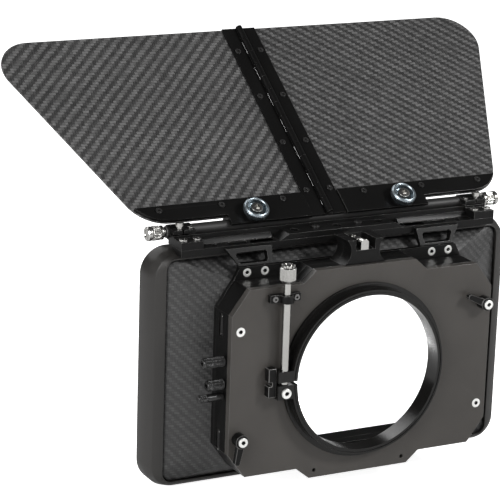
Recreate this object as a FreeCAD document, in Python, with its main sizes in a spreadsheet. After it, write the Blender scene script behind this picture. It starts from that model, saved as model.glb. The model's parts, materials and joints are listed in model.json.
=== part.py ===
"""Clip-on matte box (rectangular lens hood) for 4 x 5.65 inch filters, with a folding top flag.

Millimetres. X runs to the right seen from the lens, Y along the optical axis towards the scene, Z up.
The origin is the centre of the lens bore in the rear face of the back plate.
The flag's pieces are drawn flat in their own frame (Y along the flag, Z out of it) and tilted about its tube.
"""
import FreeCAD, Part
import math
import os
import re
import Sketcher

DIMENSIONS = (
    ("bore_diameter", 95.0),
    ("ring_wall", 3.2),
    ("ring_height", 7.5),
    ("ring_depth", 4.0),
    ("ring_flange_radius", 53.5),
    ("ring_flange_height", 2.0),
    ("ring_slot", 2.0),
    ("lug_width", 11.0),
    ("lug_upper", 7.5),
    ("lug_lower", 9.5),
    ("plate_half_width", 87.5),
    ("plate_half_height", 57.0),
    ("plate_thickness", 4.5),
    ("corner_run", 11.2),
    ("corner_rise", 15.0),
    ("tab_half_width", 33.5),
    ("tab_height", 7.0),
    ("tab_slope", 8.0),
    ("tab_hole_spacing", 60.0),
    ("tab_hole_height", 59.5),
    ("tapped_hole_radius", 1.25),
    ("corner_fixing_across", 81.6),
    ("corner_fixing_up", 32.4),
    ("tray_depth", 7.4),
    ("tray_half_width", 75.5),
    ("tray_gap", 0.3),
    ("handle_half_width", 14.5),
    ("handle_top", 78.9),
    ("handle_bite", 9.35),
    ("handle_bite_across", 18.75),
    ("handle_bite_height", 72.3),
    ("handle_overhang", 2.3),
    ("handle_slot", 6.5),
    ("latch_width", 5.0),
    ("latch_height", 6.2),
    ("frame_front", 20.2),
    ("frame_thickness", 3.0),
    ("frame_top", 64.4),
    ("frame_ear_half_width", 73.0),
    ("aperture_half_width", 69.0),
    ("aperture_half_height", 47.5),
    ("hood_wall", 1.8),
    ("bend_half_width", 112.4),
    ("bend_half_height", 68.2),
    ("bend_forward", 37.4),
    ("bend_corner", 6.0),
    ("border_rear", 35.2),
    ("border_swell_width", 118.6),
    ("border_swell_height", 71.2),
    ("border_swell_forward", 37.2),
    ("rim_half_width", 121.4),
    ("rim_half_height", 73.0),
    ("rim_corner", 16.0),
    ("rim_rear", 43.5),
    ("rim_front", 53.2),
    ("rim_lip", 2.6),
    ("bridge_rear", 30.0),
    ("bridge_front", 43.5),
    ("bridge_bottom", 71.0),
    ("bridge_top", 75.0),
    ("bridge_half_length", 106.0),
    ("rail_half_length", 42.0),
    ("rail_bevel", 6.0),
    ("rail_height", 3.5),
    ("rib_depth", 2.0),
    ("rib_height", 5.6),
    ("ledge_depth", 3.0),
    ("ledge_height", 2.6),
    ("rail_hole_spacing", 28.8),
    ("rail_hole_radius", 2.55),
    ("bracket_thickness", 3.0),
    ("clamp_inner_end", 92.0),
    ("clamp_foot_height", 4.7),
    ("tube_forward", 49.5),
    ("tube_height", 81.5),
    ("tube_radius", 3.5),
    ("tube_half_length", 107.5),
    ("tube_clearance", 0.05),
    ("clamp_eye_radius", 4.25),
    ("end_knob_radius", 4.3),
    ("end_knob_length", 10.0),
    ("flag_tilt", 35.0),
    ("flag_offset", 2.7),
    ("flag_start", 3.6),
    ("flag_length", 152.9),
    ("flag_base_half_width", 119.9),
    ("flag_top_half_width", 176.8),
    ("flag_top_radius", 22.0),
    ("flag_base_radius", 24.5),
    ("panel_thickness", 1.2),
    ("panel_gap", 1.6),
    ("hinge_across", -1.3),
    ("hinge_start", -2.7),
    ("leaf_width", 11.4),
    ("leaf_thickness", 1.1),
    ("knuckle_radius", 2.1),
    ("pin_radius", 1.1),
    ("pin_clearance", 0.05),
    ("bar_end", 14.9),
    ("bar_thickness", 2.0),
    ("bar_tail", 3.5),
    ("holder_half_length", 67.0),
    ("holder_rear", 1.9),
    ("holder_front", 6.5),
    ("holder_depth", 4.4),
    ("flag_knob_across", 50.2),
    ("flag_knob_along", 2.4),
    ("flag_knob_radius", 8.0),
    ("flag_knob_height", 6.5),
    ("clamp_screw_across", 55.0),
    ("clamp_screw_back", 4.8),
    ("clamp_screw_radius", 2.5),
    ("clamp_screw_knob_radius", 4.7),
    ("clamp_screw_knob_bottom", 60.2),
    ("clamp_screw_top", 71.3),
    ("guide_bottom", 48.5),
    ("guide_height", 4.7),
    ("lever_stand_off", 8.0),
    ("lever_length", 13.8),
    ("side_knob_radius", 3.3),
)
X_AXIS = FreeCAD.Vector(1, 0, 0)
Y_AXIS = FreeCAD.Vector(0, 1, 0)
Z_AXIS = FreeCAD.Vector(0, 0, 1)
KNUCKLES = 14
SCREW_GAP = 0.04

doc = FreeCAD.newDocument("MatteBox")
sheet = doc.addObject("Spreadsheet::Sheet", "Dims")
pieces = []

SIDE_CONTROLS = {
    "tray_lock_knob_upper": ("8", "13.5"),
    "tray_lock_knob_lower": ("8", "- 0.5"),
    "tray_release_pin": ("8.5", "- 8.2"),
}
DETENT_BOTTOMS = ("26.8", "- 43.7")


def fill_sheet():
    """Write every driving dimension to the sheet with its alias."""
    for row, (alias, size) in enumerate(DIMENSIONS, start=1):
        sheet.set(f"A{row}", alias)
        sheet.set(f"B{row}", str(size))
        sheet.setAlias(f"B{row}", alias)
    doc.recompute()


def full(expression):
    """Turn bare aliases such as tube_radius into references to the sheet."""
    aliases = {alias for alias, _ in DIMENSIONS}
    return re.sub("[a-z_]+", lambda word: f"Dims.{word[0]}" if word[0] in aliases else word[0], expression)


def value(expression):
    """Return the number that an expression over the sheet gives."""
    return float(sheet.evalExpression(full(str(expression))))


def bind(thing, name, expression):
    """Bind a property to an expression over the sheet."""
    thing.setExpression(name, full(str(expression)))


def keep(thing, label):
    """Give a finished sub-part its label and list it for export."""
    thing.Label = label
    pieces.append(thing)
    return thing


def tilt_with_flag(thing):
    """Place a piece drawn in the flag's flat frame onto the tilted flag."""
    thing.Placement = FreeCAD.Placement(FreeCAD.Vector(), FreeCAD.Rotation(X_AXIS, value("flag_tilt")))
    bind(thing, "Placement.Base.y", "tube_forward")
    bind(thing, "Placement.Base.z", "tube_height")
    bind(thing, "Placement.Rotation.Angle", "flag_tilt")
    return thing


# Primitives ------------------------------------------------------------------

def box(low, size):
    """A block from its low corner and its size, each three expressions."""
    block = doc.addObject("Part::Box", "Block")
    for name, expression in zip(("Length", "Width", "Height"), size):
        bind(block, name, expression)
    for name, expression in zip("xyz", low):
        bind(block, f"Placement.Base.{name}", expression)
    return block


def rod(start, axis, radius, length):
    """A cylinder from the centre of its first face, along one of the three axes."""
    cylinder = doc.addObject("Part::Cylinder", "Rod")
    cylinder.Placement = FreeCAD.Placement(FreeCAD.Vector(), FreeCAD.Rotation(Z_AXIS, axis))
    bind(cylinder, "Radius", radius)
    bind(cylinder, "Height", length)
    for name, expression in zip("xyz", start):
        bind(cylinder, f"Placement.Base.{name}", expression)
    return cylinder


def fuse(things):
    """Join overlapping things into one."""
    joined = doc.addObject("Part::MultiFuse", "Joined")
    joined.Shapes = things
    joined.Refine = True
    return joined


def gather(things):
    """Keep separate things together as one object."""
    group = doc.addObject("Part::Compound", "Group")
    group.Links = things
    return group


def cut(base, tools):
    """Cut each tool from the base."""
    for tool in tools:
        result = doc.addObject("Part::Cut", "Cut")
        result.Base = base
        result.Tool = tool
        result.Refine = True
        base = result
    return base


def carve(label, tool):
    """Cut the tool from the sub-part that already has this label."""
    index = next(place for place, piece in enumerate(pieces) if piece.Label == label)
    blank = pieces[index]
    blank.Label = f"{label}_blank"
    pieces[index] = cut(blank, [tool])
    pieces[index].Label = label


# Sketched bodies ---------------------------------------------------------------

def new_body(label):
    """Start a body that becomes one sub-part."""
    return keep(doc.addObject("PartDesign::Body", label), label)


def sketch_on(body, role, offset="0"):
    """A sketch on one of the body's own origin planes, moved along the plane's normal."""
    sketch = body.newObject("Sketcher::SketchObject", f"{body.Label}_sketch")
    plane = next(feature for feature in body.Origin.OriginFeatures if feature.Role == role)
    sketch.AttachmentSupport = [(plane, "")]
    sketch.MapMode = "FlatFace"
    bind(sketch, "AttachmentOffset.Base.z", offset)
    return sketch


def fix_point(sketch, geometry, position, across, up):
    """Hold one sketch point at two bound distances from the sketch's origin."""
    for kind, expression in (("DistanceX", across), ("DistanceY", up)):
        rule = Sketcher.Constraint(kind, -1, 1, geometry, position, value(expression))
        index = sketch.addConstraint(rule)
        bind(sketch, f"Constraints[{index}]", expression)


def draw_outline(sketch, corners):
    """A closed outline of straight lines through corners, each two expressions."""
    points = [FreeCAD.Vector(value(across), value(up), 0) for across, up in corners]
    first = sketch.GeometryCount
    count = len(points)
    for index in range(count):
        sketch.addGeometry(Part.LineSegment(points[index], points[(index + 1) % count]))
    for index in range(count):
        following = first + (index + 1) % count
        sketch.addConstraint(Sketcher.Constraint("Coincident", first + index, 2, following, 1))
    for index, (across, up) in enumerate(corners):
        fix_point(sketch, first + index, 1, across, up)


def draw_circle(sketch, across, up, radius):
    """A circle with a bound centre and radius."""
    centre = FreeCAD.Vector(value(across), value(up), 0)
    index = sketch.addGeometry(Part.Circle(centre, Z_AXIS, value(radius)))
    fix_point(sketch, index, 3, across, up)
    rule = sketch.addConstraint(Sketcher.Constraint("Radius", index, value(radius)))
    bind(sketch, f"Constraints[{rule}]", radius)


def draw_bite(sketch, across, up, radius, level):
    """The part of a circle that lies above a level line."""
    centre = FreeCAD.Vector(value(across), value(up), 0)
    drop = math.asin((value(up) - value(level)) / value(radius))
    circle = Part.Circle(centre, Z_AXIS, value(radius))
    arc = sketch.addGeometry(Part.ArcOfCircle(circle, -drop, math.pi + drop))
    reach = value(radius) * math.cos(drop)
    chord_ends = [FreeCAD.Vector(centre.x + side * reach, value(level), 0) for side in (-1, 1)]
    chord = sketch.addGeometry(Part.LineSegment(*chord_ends))
    sketch.addConstraint(Sketcher.Constraint("Coincident", arc, 2, chord, 1))
    sketch.addConstraint(Sketcher.Constraint("Coincident", arc, 1, chord, 2))
    fix_point(sketch, arc, 3, across, up)
    sketch.addConstraint(Sketcher.Constraint("Horizontal", chord))
    for rule, name in ((Sketcher.Constraint("Radius", arc, value(radius)), radius),
                       (Sketcher.Constraint("DistanceY", -1, 1, chord, 1, value(level)), level)):
        bind(sketch, f"Constraints[{sketch.addConstraint(rule)}]", name)


def draw_rectangle(sketch, left, bottom, right, top):
    """A rectangle between four bound sides."""
    draw_outline(sketch, [(left, bottom), (right, bottom), (right, top), (left, top)])


def pad(body, sketch, length, reverse=False):
    """Add the sketch, pushed out by the length."""
    feature = body.newObject("PartDesign::Pad", f"{body.Label}_pad")
    feature.Profile = sketch
    bind(feature, "Length", length)
    feature.Reversed = reverse
    sketch.Visibility = False
    return feature


def pocket(body, sketch):
    """Cut the sketch right through the body both ways."""
    feature = body.newObject("PartDesign::Pocket", f"{body.Label}_pocket")
    feature.Profile = sketch
    feature.Type = "ThroughAll"
    feature.Midplane = True
    return feature


def revolve(body, profile):
    """Turn a half section, given as (distance along, radius) pairs, about the body's X axis."""
    sketch = sketch_on(body, "XY_Plane")
    draw_outline(sketch, profile)
    feature = body.newObject("PartDesign::Revolution", f"{body.Label}_turned")
    feature.Profile = sketch
    axis = next(item for item in body.Origin.OriginFeatures if item.Role == "X_Axis")
    feature.ReferenceAxis = (axis, [""])
    feature.Angle = 360
    return feature


def minus(expression):
    """The expression with its sign changed."""
    return f"- ( {expression} )"


def four_way(quarter):
    """Mirror the points of the upper right quarter round to a whole outline."""
    right = quarter + [(across, minus(up)) for across, up in reversed(quarter)]
    return right + [(minus(across), up) for across, up in reversed(right)]


def two_way(right_half):
    """Mirror the points of a right half across the middle to a whole outline."""
    return right_half + [(minus(across), up) for across, up in reversed(right_half)]


def upright_plate(label, rear, thickness, outline):
    """A plate square to the optical axis: its rear face's place, its thickness and its outline."""
    body = new_body(label)
    sketch = sketch_on(body, "XZ_Plane", minus(rear))
    draw_outline(sketch, outline)
    pad(body, sketch, thickness, reverse=True)
    return body


def flat_plate(label, bottom, thickness, outline):
    """A plate in the flag's flat frame: its lower face's height, its thickness and its outline."""
    body = new_body(label)
    sketch = sketch_on(body, "XY_Plane", bottom)
    draw_outline(sketch, outline)
    pad(body, sketch, thickness)
    return body


def round_corner(body, feature, across, along, radius):
    """Round the body's upright edge that stands at one corner of its outline."""
    doc.recompute()
    corner = FreeCAD.Vector(value(across), value(along), 0)
    names = []
    for number, edge in enumerate(feature.Shape.Edges, start=1):
        ends = [FreeCAD.Vector(vertex.X, vertex.Y, 0) for vertex in edge.Vertexes]
        if all(end.distanceToPoint(corner) < 0.01 for end in ends):
            names.append(f"Edge{number}")
    rounding = body.newObject("PartDesign::Fillet", f"{body.Label}_rounding")
    rounding.Base = (feature, names)
    bind(rounding, "Radius", radius)
    return rounding


def mirrored(expression, sign):
    """The expression as it is on the right, or with its sign changed on the left."""
    return minus(expression) if sign < 0 else expression


# Fasteners -------------------------------------------------------------------------

def screw_shape(head_radius, head_height, shank_radius, shank_length, countersunk=False):
    """A plain screw along +Z with its head's underside, or a countersunk head's top, at the origin."""
    if countersunk:
        low = FreeCAD.Vector(0, 0, -head_height)
        head = Part.makeCone(shank_radius, head_radius, head_height, low)
    else:
        head = Part.makeCylinder(head_radius, head_height)
    shank = Part.makeCylinder(shank_radius, shank_length, FreeCAD.Vector(0, 0, -shank_length))
    return head.fuse(shank)


def hex_socket(head_radius, head_height, countersunk):
    """The six-sided hole in a screw's head."""
    radius = head_radius * 0.42
    depth = head_height * 0.6
    bottom = (0.0 if countersunk else head_height) - depth
    corners = [FreeCAD.Vector(radius * math.cos(math.radians(60 * step)),
                              radius * math.sin(math.radians(60 * step)), bottom) for step in range(7)]
    return Part.Face(Part.makePolygon(corners)).extrude(Z_AXIS * (depth + 1))


def screw_group(label, screw, places, direction, flag=False):
    """Identical shapes at several places, pointing one way, as one group of solids."""
    turn = FreeCAD.Rotation(Z_AXIS, direction)
    copies = []
    for across, along, up in places:
        copy = screw.copy()
        copy.Placement = FreeCAD.Placement(FreeCAD.Vector(value(across), value(along), value(up)), turn)
        copies.append(copy)
    group = doc.addObject("Part::Feature", label)
    group.Shape = Part.makeCompound(copies)
    if flag:
        tilt_with_flag(group)
    return group


def drive(label, sizes, places, direction, into, countersunk=False, flag=False):
    """Screws of the sizes (head radius and height, shank radius and length) and their holes."""
    head_radius, head_height, shank_radius, shank_length = sizes
    screw = screw_shape(*sizes, countersunk).cut(hex_socket(head_radius, head_height, countersunk))
    keep(screw_group(label, screw.removeSplitter(), places, direction, flag), label)
    room = screw_shape(head_radius + SCREW_GAP, head_height, shank_radius + SCREW_GAP, shank_length, countersunk)
    holes = screw_group(f"{label}_holes", room, places, direction, flag)
    for name in into:
        carve(name, holes)


# Hood --------------------------------------------------------------------------------

def ring_section(half_width, half_height, run, rise, rounded, forward):
    """A closed wire of four sides and four corners, either cut straight or rounded."""
    bulge = 1 - math.sqrt(0.5)
    edges = []
    corners = []
    for side_x, side_z in ((1, 1), (-1, 1), (-1, -1), (1, -1)):
        on_side = FreeCAD.Vector(side_x * half_width, forward, side_z * (half_height - rise))
        on_level = FreeCAD.Vector(side_x * (half_width - run), forward, side_z * half_height)
        middle = FreeCAD.Vector(side_x * (half_width - run * bulge), forward,
                                side_z * (half_height - rise * bulge))
        pair = (on_side, middle, on_level) if side_x * side_z > 0 else (on_level, middle, on_side)
        corners.append(pair)
    for index, (start, middle, end) in enumerate(corners):
        edges.append(Part.Arc(start, middle, end).toShape() if rounded else Part.LineSegment(start, end).toShape())
        edges.append(Part.LineSegment(end, corners[(index + 1) % 4][0]).toShape())
    return Part.Wire(edges)


def bend_ring(grow, forward):
    """The rounded ring where the hood's flared faces end, made larger all round."""
    corner = value("bend_corner") + grow
    return ring_section(value("bend_half_width") + grow, value("bend_half_height") + grow, corner, corner,
                        True, forward)


def rim_ring(inset, forward):
    """The rim's rounded outline, moved inwards."""
    corner = value("rim_corner") - inset
    return ring_section(value("rim_half_width") - inset, value("rim_half_height") - inset, corner, corner,
                        True, forward)


def hood_sections(inset):
    """The shell's sections from its root to where it lies inside the rim, moved inwards."""
    root = ring_section(value("plate_half_width") - inset, value("plate_half_height") - inset,
                        value("corner_run"), value("corner_rise"), False, value("frame_front + frame_thickness"))
    return [root, bend_ring(-inset, value("bend_forward")), rim_ring(value("rim_lip") + inset, value("rim_rear"))]


def make_hood_shell():
    """The flared shell, open at both ends: the space between two lofts."""
    outer = Part.makeLoft(hood_sections(0.0), True, True)
    inner = Part.makeLoft(hood_sections(value("hood_wall")), True, True)
    shell = doc.addObject("Part::Feature", "hood_shell")
    shell.Shape = outer.cut(inner)
    return keep(shell, "hood_shell")


def make_hood_rim():
    """The frame round the shell: a swelling border that stands behind the shell's edge, and a straight lip."""
    corner = value("rim_corner") - 2.5
    swell = ring_section(value("border_swell_width"), value("border_swell_height"), corner, corner, True,
                         value("border_swell_forward"))
    rear = value("rim_rear")
    front = value("rim_front")
    outer = [bend_ring(0.9, value("border_rear")), swell, rim_ring(0.0, rear), rim_ring(0.0, front)]
    gap = 0.02
    inner = [bend_ring(gap, value("border_rear") - 2), bend_ring(gap, value("bend_forward")),
             rim_ring(value("rim_lip") - gap, rear), rim_ring(value("rim_lip") - gap, front + 1)]
    rim = doc.addObject("Part::Feature", "hood_rim")
    rim.Shape = Part.makeLoft(outer, True, True).cut(Part.makeLoft(inner, True, True))
    return keep(rim, "hood_rim")


def make_hood_clamp_frame():
    """The flat frame inside the hood's root that holds the shell against the front frame."""
    quarter = [("plate_half_width - corner_run - 3.5", "plate_half_height - hood_wall - 0.8"),
               ("plate_half_width - hood_wall - 0.8", "plate_half_height - corner_rise - 3")]
    body = upright_plate("hood_clamp_frame", "frame_front + frame_thickness", "2", four_way(quarter))
    opening = sketch_on(body, "XZ_Plane", "0")
    draw_outline(opening, four_way([("aperture_half_width + 1", "aperture_half_height + 0.6")]))
    pocket(body, opening)


# Filter stage ----------------------------------------------------------------------

def plate_quarter():
    """The upper right quarter of the plate's outline, with half of its middle tab."""
    return [("tab_half_width", "plate_half_height + tab_height"),
            ("tab_half_width + tab_slope", "plate_half_height"),
            ("plate_half_width - corner_run", "plate_half_height"),
            ("plate_half_width", "plate_half_height - corner_rise")]


def make_back_plate():
    """The rear plate with its bore for the clamp ring and two tapped holes in the lower tab."""
    body = upright_plate("back_plate", "0", "plate_thickness", four_way(plate_quarter()))
    holes = sketch_on(body, "XZ_Plane", "0")
    draw_circle(holes, "0", "0", "bore_diameter / 2 + ring_wall")
    for side in ("tab_hole_spacing / 2", minus("tab_hole_spacing / 2")):
        draw_circle(holes, side, minus("tab_hole_height"), "tapped_hole_radius")
    for side, up in (("corner_fixing_across", minus("corner_fixing_up")),
                     (minus("corner_fixing_across"), "corner_fixing_up")):
        draw_circle(holes, side, up, "1.5")
    pocket(body, holes)


def make_front_frame():
    """The plate between the trays and the hood, with the ears that carry the brackets."""
    right = [("frame_ear_half_width", "frame_top"),
             ("plate_half_width - corner_run", "plate_half_height + 1"),
             ("plate_half_width", "plate_half_height - corner_rise"),
             ("plate_half_width", minus("plate_half_height - corner_rise")),
             ("plate_half_width - corner_run", minus("plate_half_height"))]
    body = upright_plate("front_frame", "frame_front", "frame_thickness", two_way(right))
    opening = sketch_on(body, "XZ_Plane", "0")
    draw_outline(opening, four_way([("aperture_half_width", "aperture_half_height")]))
    pocket(body, opening)


def make_side_rail(label, sign):
    """One end wall of the tray space."""
    inner = "tray_half_width + 0.5"
    outline = [(inner, minus("plate_half_height")),
               ("plate_half_width - corner_run", minus("plate_half_height")),
               ("plate_half_width", minus("plate_half_height - corner_rise")),
               ("plate_half_width", "plate_half_height - corner_rise"),
               ("plate_half_width - corner_run", "plate_half_height"),
               (inner, "plate_half_height")]
    upright_plate(label, "plate_thickness", "frame_front - plate_thickness",
                  [(mirrored(across, sign), up) for across, up in outline])


def cut_left_wall():
    """The left wall's two recesses for the detent strips and its holes for the three side controls."""
    for bottom in DETENT_BOTTOMS:
        carve("side_rail_left", box([minus("plate_half_width + 1"), "11.5", f"{bottom} - 0.3"],
                                    ["2.2", "4.5", "14"]))
    for along, up in SIDE_CONTROLS.values():
        carve("side_rail_left", rod([minus("plate_half_width + 1"), along, up], X_AXIS, "1.5", "14"))


def make_bottom_rail():
    """The floor of the tray space, with the lower tab's depth."""
    right = [("tray_half_width + 0.4", minus("plate_half_height - 3.2")),
             ("tray_half_width + 0.4", minus("plate_half_height")),
             ("tab_half_width + tab_slope", minus("plate_half_height")),
             ("tab_half_width", minus("plate_half_height + tab_height"))]
    upright_plate("bottom_rail", "plate_thickness", "frame_front - plate_thickness", two_way(right))


def make_tray(label, rear, overhang=None):
    """A filter tray: a flat frame with a waisted finger grip, slotted for the latch bar."""
    grip_bottom = "plate_half_height + tab_height"
    slot_bottom = "handle_top - latch_height - 0.2"
    right = [("handle_slot", "handle_top"),
             ("handle_half_width", "handle_top"),
             ("handle_half_width", grip_bottom),
             ("tab_half_width", grip_bottom),
             ("tab_half_width + tab_slope", "plate_half_height"),
             ("tray_half_width", "plate_half_height"),
             ("tray_half_width", minus("plate_half_height - 3.6"))]
    left = [(minus(across), up) for across, up in reversed(right)]
    slot = [(minus("handle_slot"), slot_bottom), ("handle_slot", slot_bottom)]
    body = upright_plate(label, rear, "tray_depth", right + left + slot)
    if overhang:
        grip = [("handle_slot", "handle_top"), ("handle_half_width", "handle_top"),
                ("handle_half_width", f"{grip_bottom} + 0.3")]
        other = [(minus(across), up) for across, up in reversed(grip)]
        sketch = sketch_on(body, "XZ_Plane", minus(f"{rear} - {overhang}"))
        draw_outline(sketch, grip + other + slot)
        pad(body, sketch, f"{overhang} + 1", reverse=True)
    opening = sketch_on(body, "XZ_Plane", "0")
    draw_outline(opening, four_way([("aperture_half_width - 0.5", "aperture_half_height - 0.5")]))
    for across in ("handle_bite_across", minus("handle_bite_across")):
        draw_bite(opening, across, "handle_bite_height", "handle_bite", f"{grip_bottom} + 0.1")
    pocket(body, opening)


def make_trays():
    """Two trays, one behind the other, and the latch bar that lies in both grips."""
    rear = "plate_thickness + tray_gap"
    make_tray("filter_tray_rear", rear, overhang="handle_overhang")
    make_tray("filter_tray_front", f"{rear} + tray_depth")
    front = f"{rear} - handle_overhang"
    bottom = "handle_top - latch_height"
    left = minus("latch_width / 2 + 0.9")
    tab = box([left, f"{front} - 0.4", bottom], ["latch_width", "3.4", "latch_height - 1.5"])
    crown = rod([f"{left} + latch_width / 2", f"{front} - 0.4", "handle_top - latch_width / 2 + 0.1"], Y_AXIS,
                "latch_width / 2", "3.4")
    neck = box([f"{left} + 0.6", front, bottom], ["latch_width - 1.2", "bridge_rear - 7", "latch_height - 1.3"])
    bumps = [rod([f"{left} + latch_width / 2", f"{front} + {along}", "handle_top - 1.6"], Z_AXIS, "1.9", "1")
             for along in (8, 14)]
    keep(fuse([tab, crown, neck] + bumps), "tray_latch_bar")


# Clamp ring ---------------------------------------------------------------------------

def make_clamp_ring():
    """The split ring that grips the lens, with a lug each side of its split."""
    outer = "bore_diameter / 2 + ring_wall - 0.05"
    total = "ring_height + ring_depth"
    rear = minus("ring_height")
    tube = rod(["0", rear, "0"], Y_AXIS, outer, total)
    flange = rod(["0", minus("ring_flange_height"), "0"], Y_AXIS, "ring_flange_radius", "ring_flange_height - 0.02")
    lug_left = minus("bore_diameter / 2 + lug_width + 1.5")
    lugs = box([lug_left, rear, minus("lug_lower")],
               ["lug_width + 3", "ring_height - 0.3", "lug_lower + lug_upper"])
    bore = rod(["0", f"{rear} - 1", "0"], Y_AXIS, "bore_diameter / 2", f"{total} + 2")
    slot = box([minus("bore_diameter / 2 + lug_width + 5"), f"{rear} - 1", minus("ring_slot / 2")],
               ["lug_width + 8", f"{total} + 2", "ring_slot"])
    shaft = rod([minus("clamp_screw_across"), minus("clamp_screw_back"), minus("lug_lower + 1")],
                Z_AXIS, "clamp_screw_radius + 0.08", "lug_lower + lug_upper + 2")
    pivot = rod([minus("clamp_screw_across"), f"{rear} - 1", minus("lug_lower / 2 + 0.8")], Y_AXIS, "1.5", "1.9")
    groove = cut(rod(["0", f"{rear} - 1", "0"], Y_AXIS, "bore_diameter / 2 + 2.1", "1.5"),
                 [rod(["0", f"{rear} - 2", "0"], Y_AXIS, "bore_diameter / 2 + 1.5", "3")])
    keep(cut(fuse([tube, flange, lugs]), [bore, slot, shaft, pivot, groove]), "clamp_ring")


def make_clamp_screw():
    """The long thumb screw: a knurled head, a smooth stem and a thread through both lugs."""
    body = new_body("clamp_thumb_screw")
    stem = "clamp_screw_radius"
    head = "clamp_screw_knob_radius"
    profile = [("8.6 - lug_lower", "0"), ("8.6 - lug_lower", stem), ("clamp_screw_knob_bottom", stem),
               ("clamp_screw_knob_bottom", f"{head} - 0.8"), ("clamp_screw_knob_bottom + 0.8", head),
               ("clamp_screw_top - 1.5", head), ("clamp_screw_top", f"{head} - 1.5"), ("clamp_screw_top", "0")]
    revolve(body, profile)
    body.Placement = FreeCAD.Placement(FreeCAD.Vector(), FreeCAD.Rotation(Y_AXIS, -90))
    bind(body, "Placement.Base.x", minus("clamp_screw_across"))
    bind(body, "Placement.Base.y", minus("clamp_screw_back"))


def make_clamp_fittings():
    """The guide near the plate's top edge and the stop block beside the lugs."""
    across = minus("clamp_screw_across")
    centre = minus("clamp_screw_back")
    wings = box([f"{across} - 9.8", "- 3.4", "guide_bottom"], ["19.6", "3.38", "guide_height"])
    eye = rod([across, centre, "guide_bottom"], Z_AXIS, "3.9", "guide_height")
    web = box([f"{across} - 3.9", centre, "guide_bottom"], ["7.8", "clamp_screw_back - 0.02", "guide_height"])
    bore = rod([across, centre, "guide_bottom - 5"], Z_AXIS, "clamp_screw_radius + 0.06", "guide_height + 10")
    keep(cut(fuse([wings, eye, web]), [bore]), "clamp_screw_guide")
    stop_left = minus("bore_diameter / 2 + lug_width + 6.8")
    stop = box([stop_left, "- 5.5", "- 8"], ["5", "5.48", "17.5"])
    relief = box([f"{stop_left} - 0.7", minus("clamp_screw_back + 3.6"), "- 1.2"], ["3", "12", "2.4"])
    keep(cut(stop, [relief]), "clamp_stop_block")


# Bridge over the hood ------------------------------------------------------------------

def make_bridge_plate():
    """The long bar behind the flag's tube, bevelled underneath to follow the hood, with long slots."""
    body = new_body("bridge_plate")
    section = sketch_on(body, "YZ_Plane", minus("bridge_half_length"))
    draw_outline(section, [("bridge_rear", "bridge_bottom"), ("bridge_rear + 6", "bridge_bottom"),
                           ("bridge_front", "bridge_top - 0.8"), ("bridge_front", "bridge_top"),
                           ("bridge_rear", "bridge_top")])
    pad(body, section, "2 * bridge_half_length")
    rib = sketch_on(body, "YZ_Plane", minus("clamp_inner_end - 0.3"))
    draw_rectangle(rib, "bridge_front - rib_depth", "bridge_top - 1", "bridge_front", "bridge_top + rib_height")
    pad(body, rib, "2 * (clamp_inner_end - 0.3)")
    for start in (minus("clamp_inner_end - 0.3"), "rail_half_length + 1"):
        ledge = sketch_on(body, "YZ_Plane", start)
        draw_outline(ledge, [("bridge_front - rib_depth - ledge_depth", "bridge_top - 1"),
                             ("bridge_front - rib_depth + 0.5", "bridge_top - 1"),
                             ("bridge_front - rib_depth + 0.5", "bridge_top + ledge_height"),
                             ("bridge_front - rib_depth - ledge_depth / 2", "bridge_top + ledge_height"),
                             ("bridge_front - rib_depth - ledge_depth", "bridge_top + 0.3")])
        pad(body, ledge, "clamp_inner_end - rail_half_length - 1.3")
    slots = sketch_on(body, "XY_Plane", "0")
    for left, right in (("45", "58"), ("61", "74"), ("- 58", "- 45"), ("- 74", "- 61")):
        draw_rectangle(slots, left, "bridge_rear + 2.6", right, "bridge_rear + 6.6")
    for across in ("82.5", "- 82.5"):
        draw_circle(slots, across, "bridge_rear + 4.6", "1.6")
    pocket(body, slots)


def make_accessory_rail():
    """The raised middle rail with three tapped holes, bevelled at its ends."""
    body = new_body("accessory_rail")
    section = sketch_on(body, "XZ_Plane", minus("bridge_rear"))
    draw_outline(section, two_way([("rail_half_length - rail_bevel", "bridge_top + rail_height"),
                                   ("rail_half_length", "bridge_top")]))
    pad(body, section, "bridge_front - bridge_rear - rib_depth - 0.02", reverse=True)
    holes = sketch_on(body, "XY_Plane", "0")
    for across in ("rail_hole_spacing", "0", minus("rail_hole_spacing")):
        draw_circle(holes, across, "bridge_rear + 7.6", "rail_hole_radius")
    pocket(body, holes)


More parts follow.
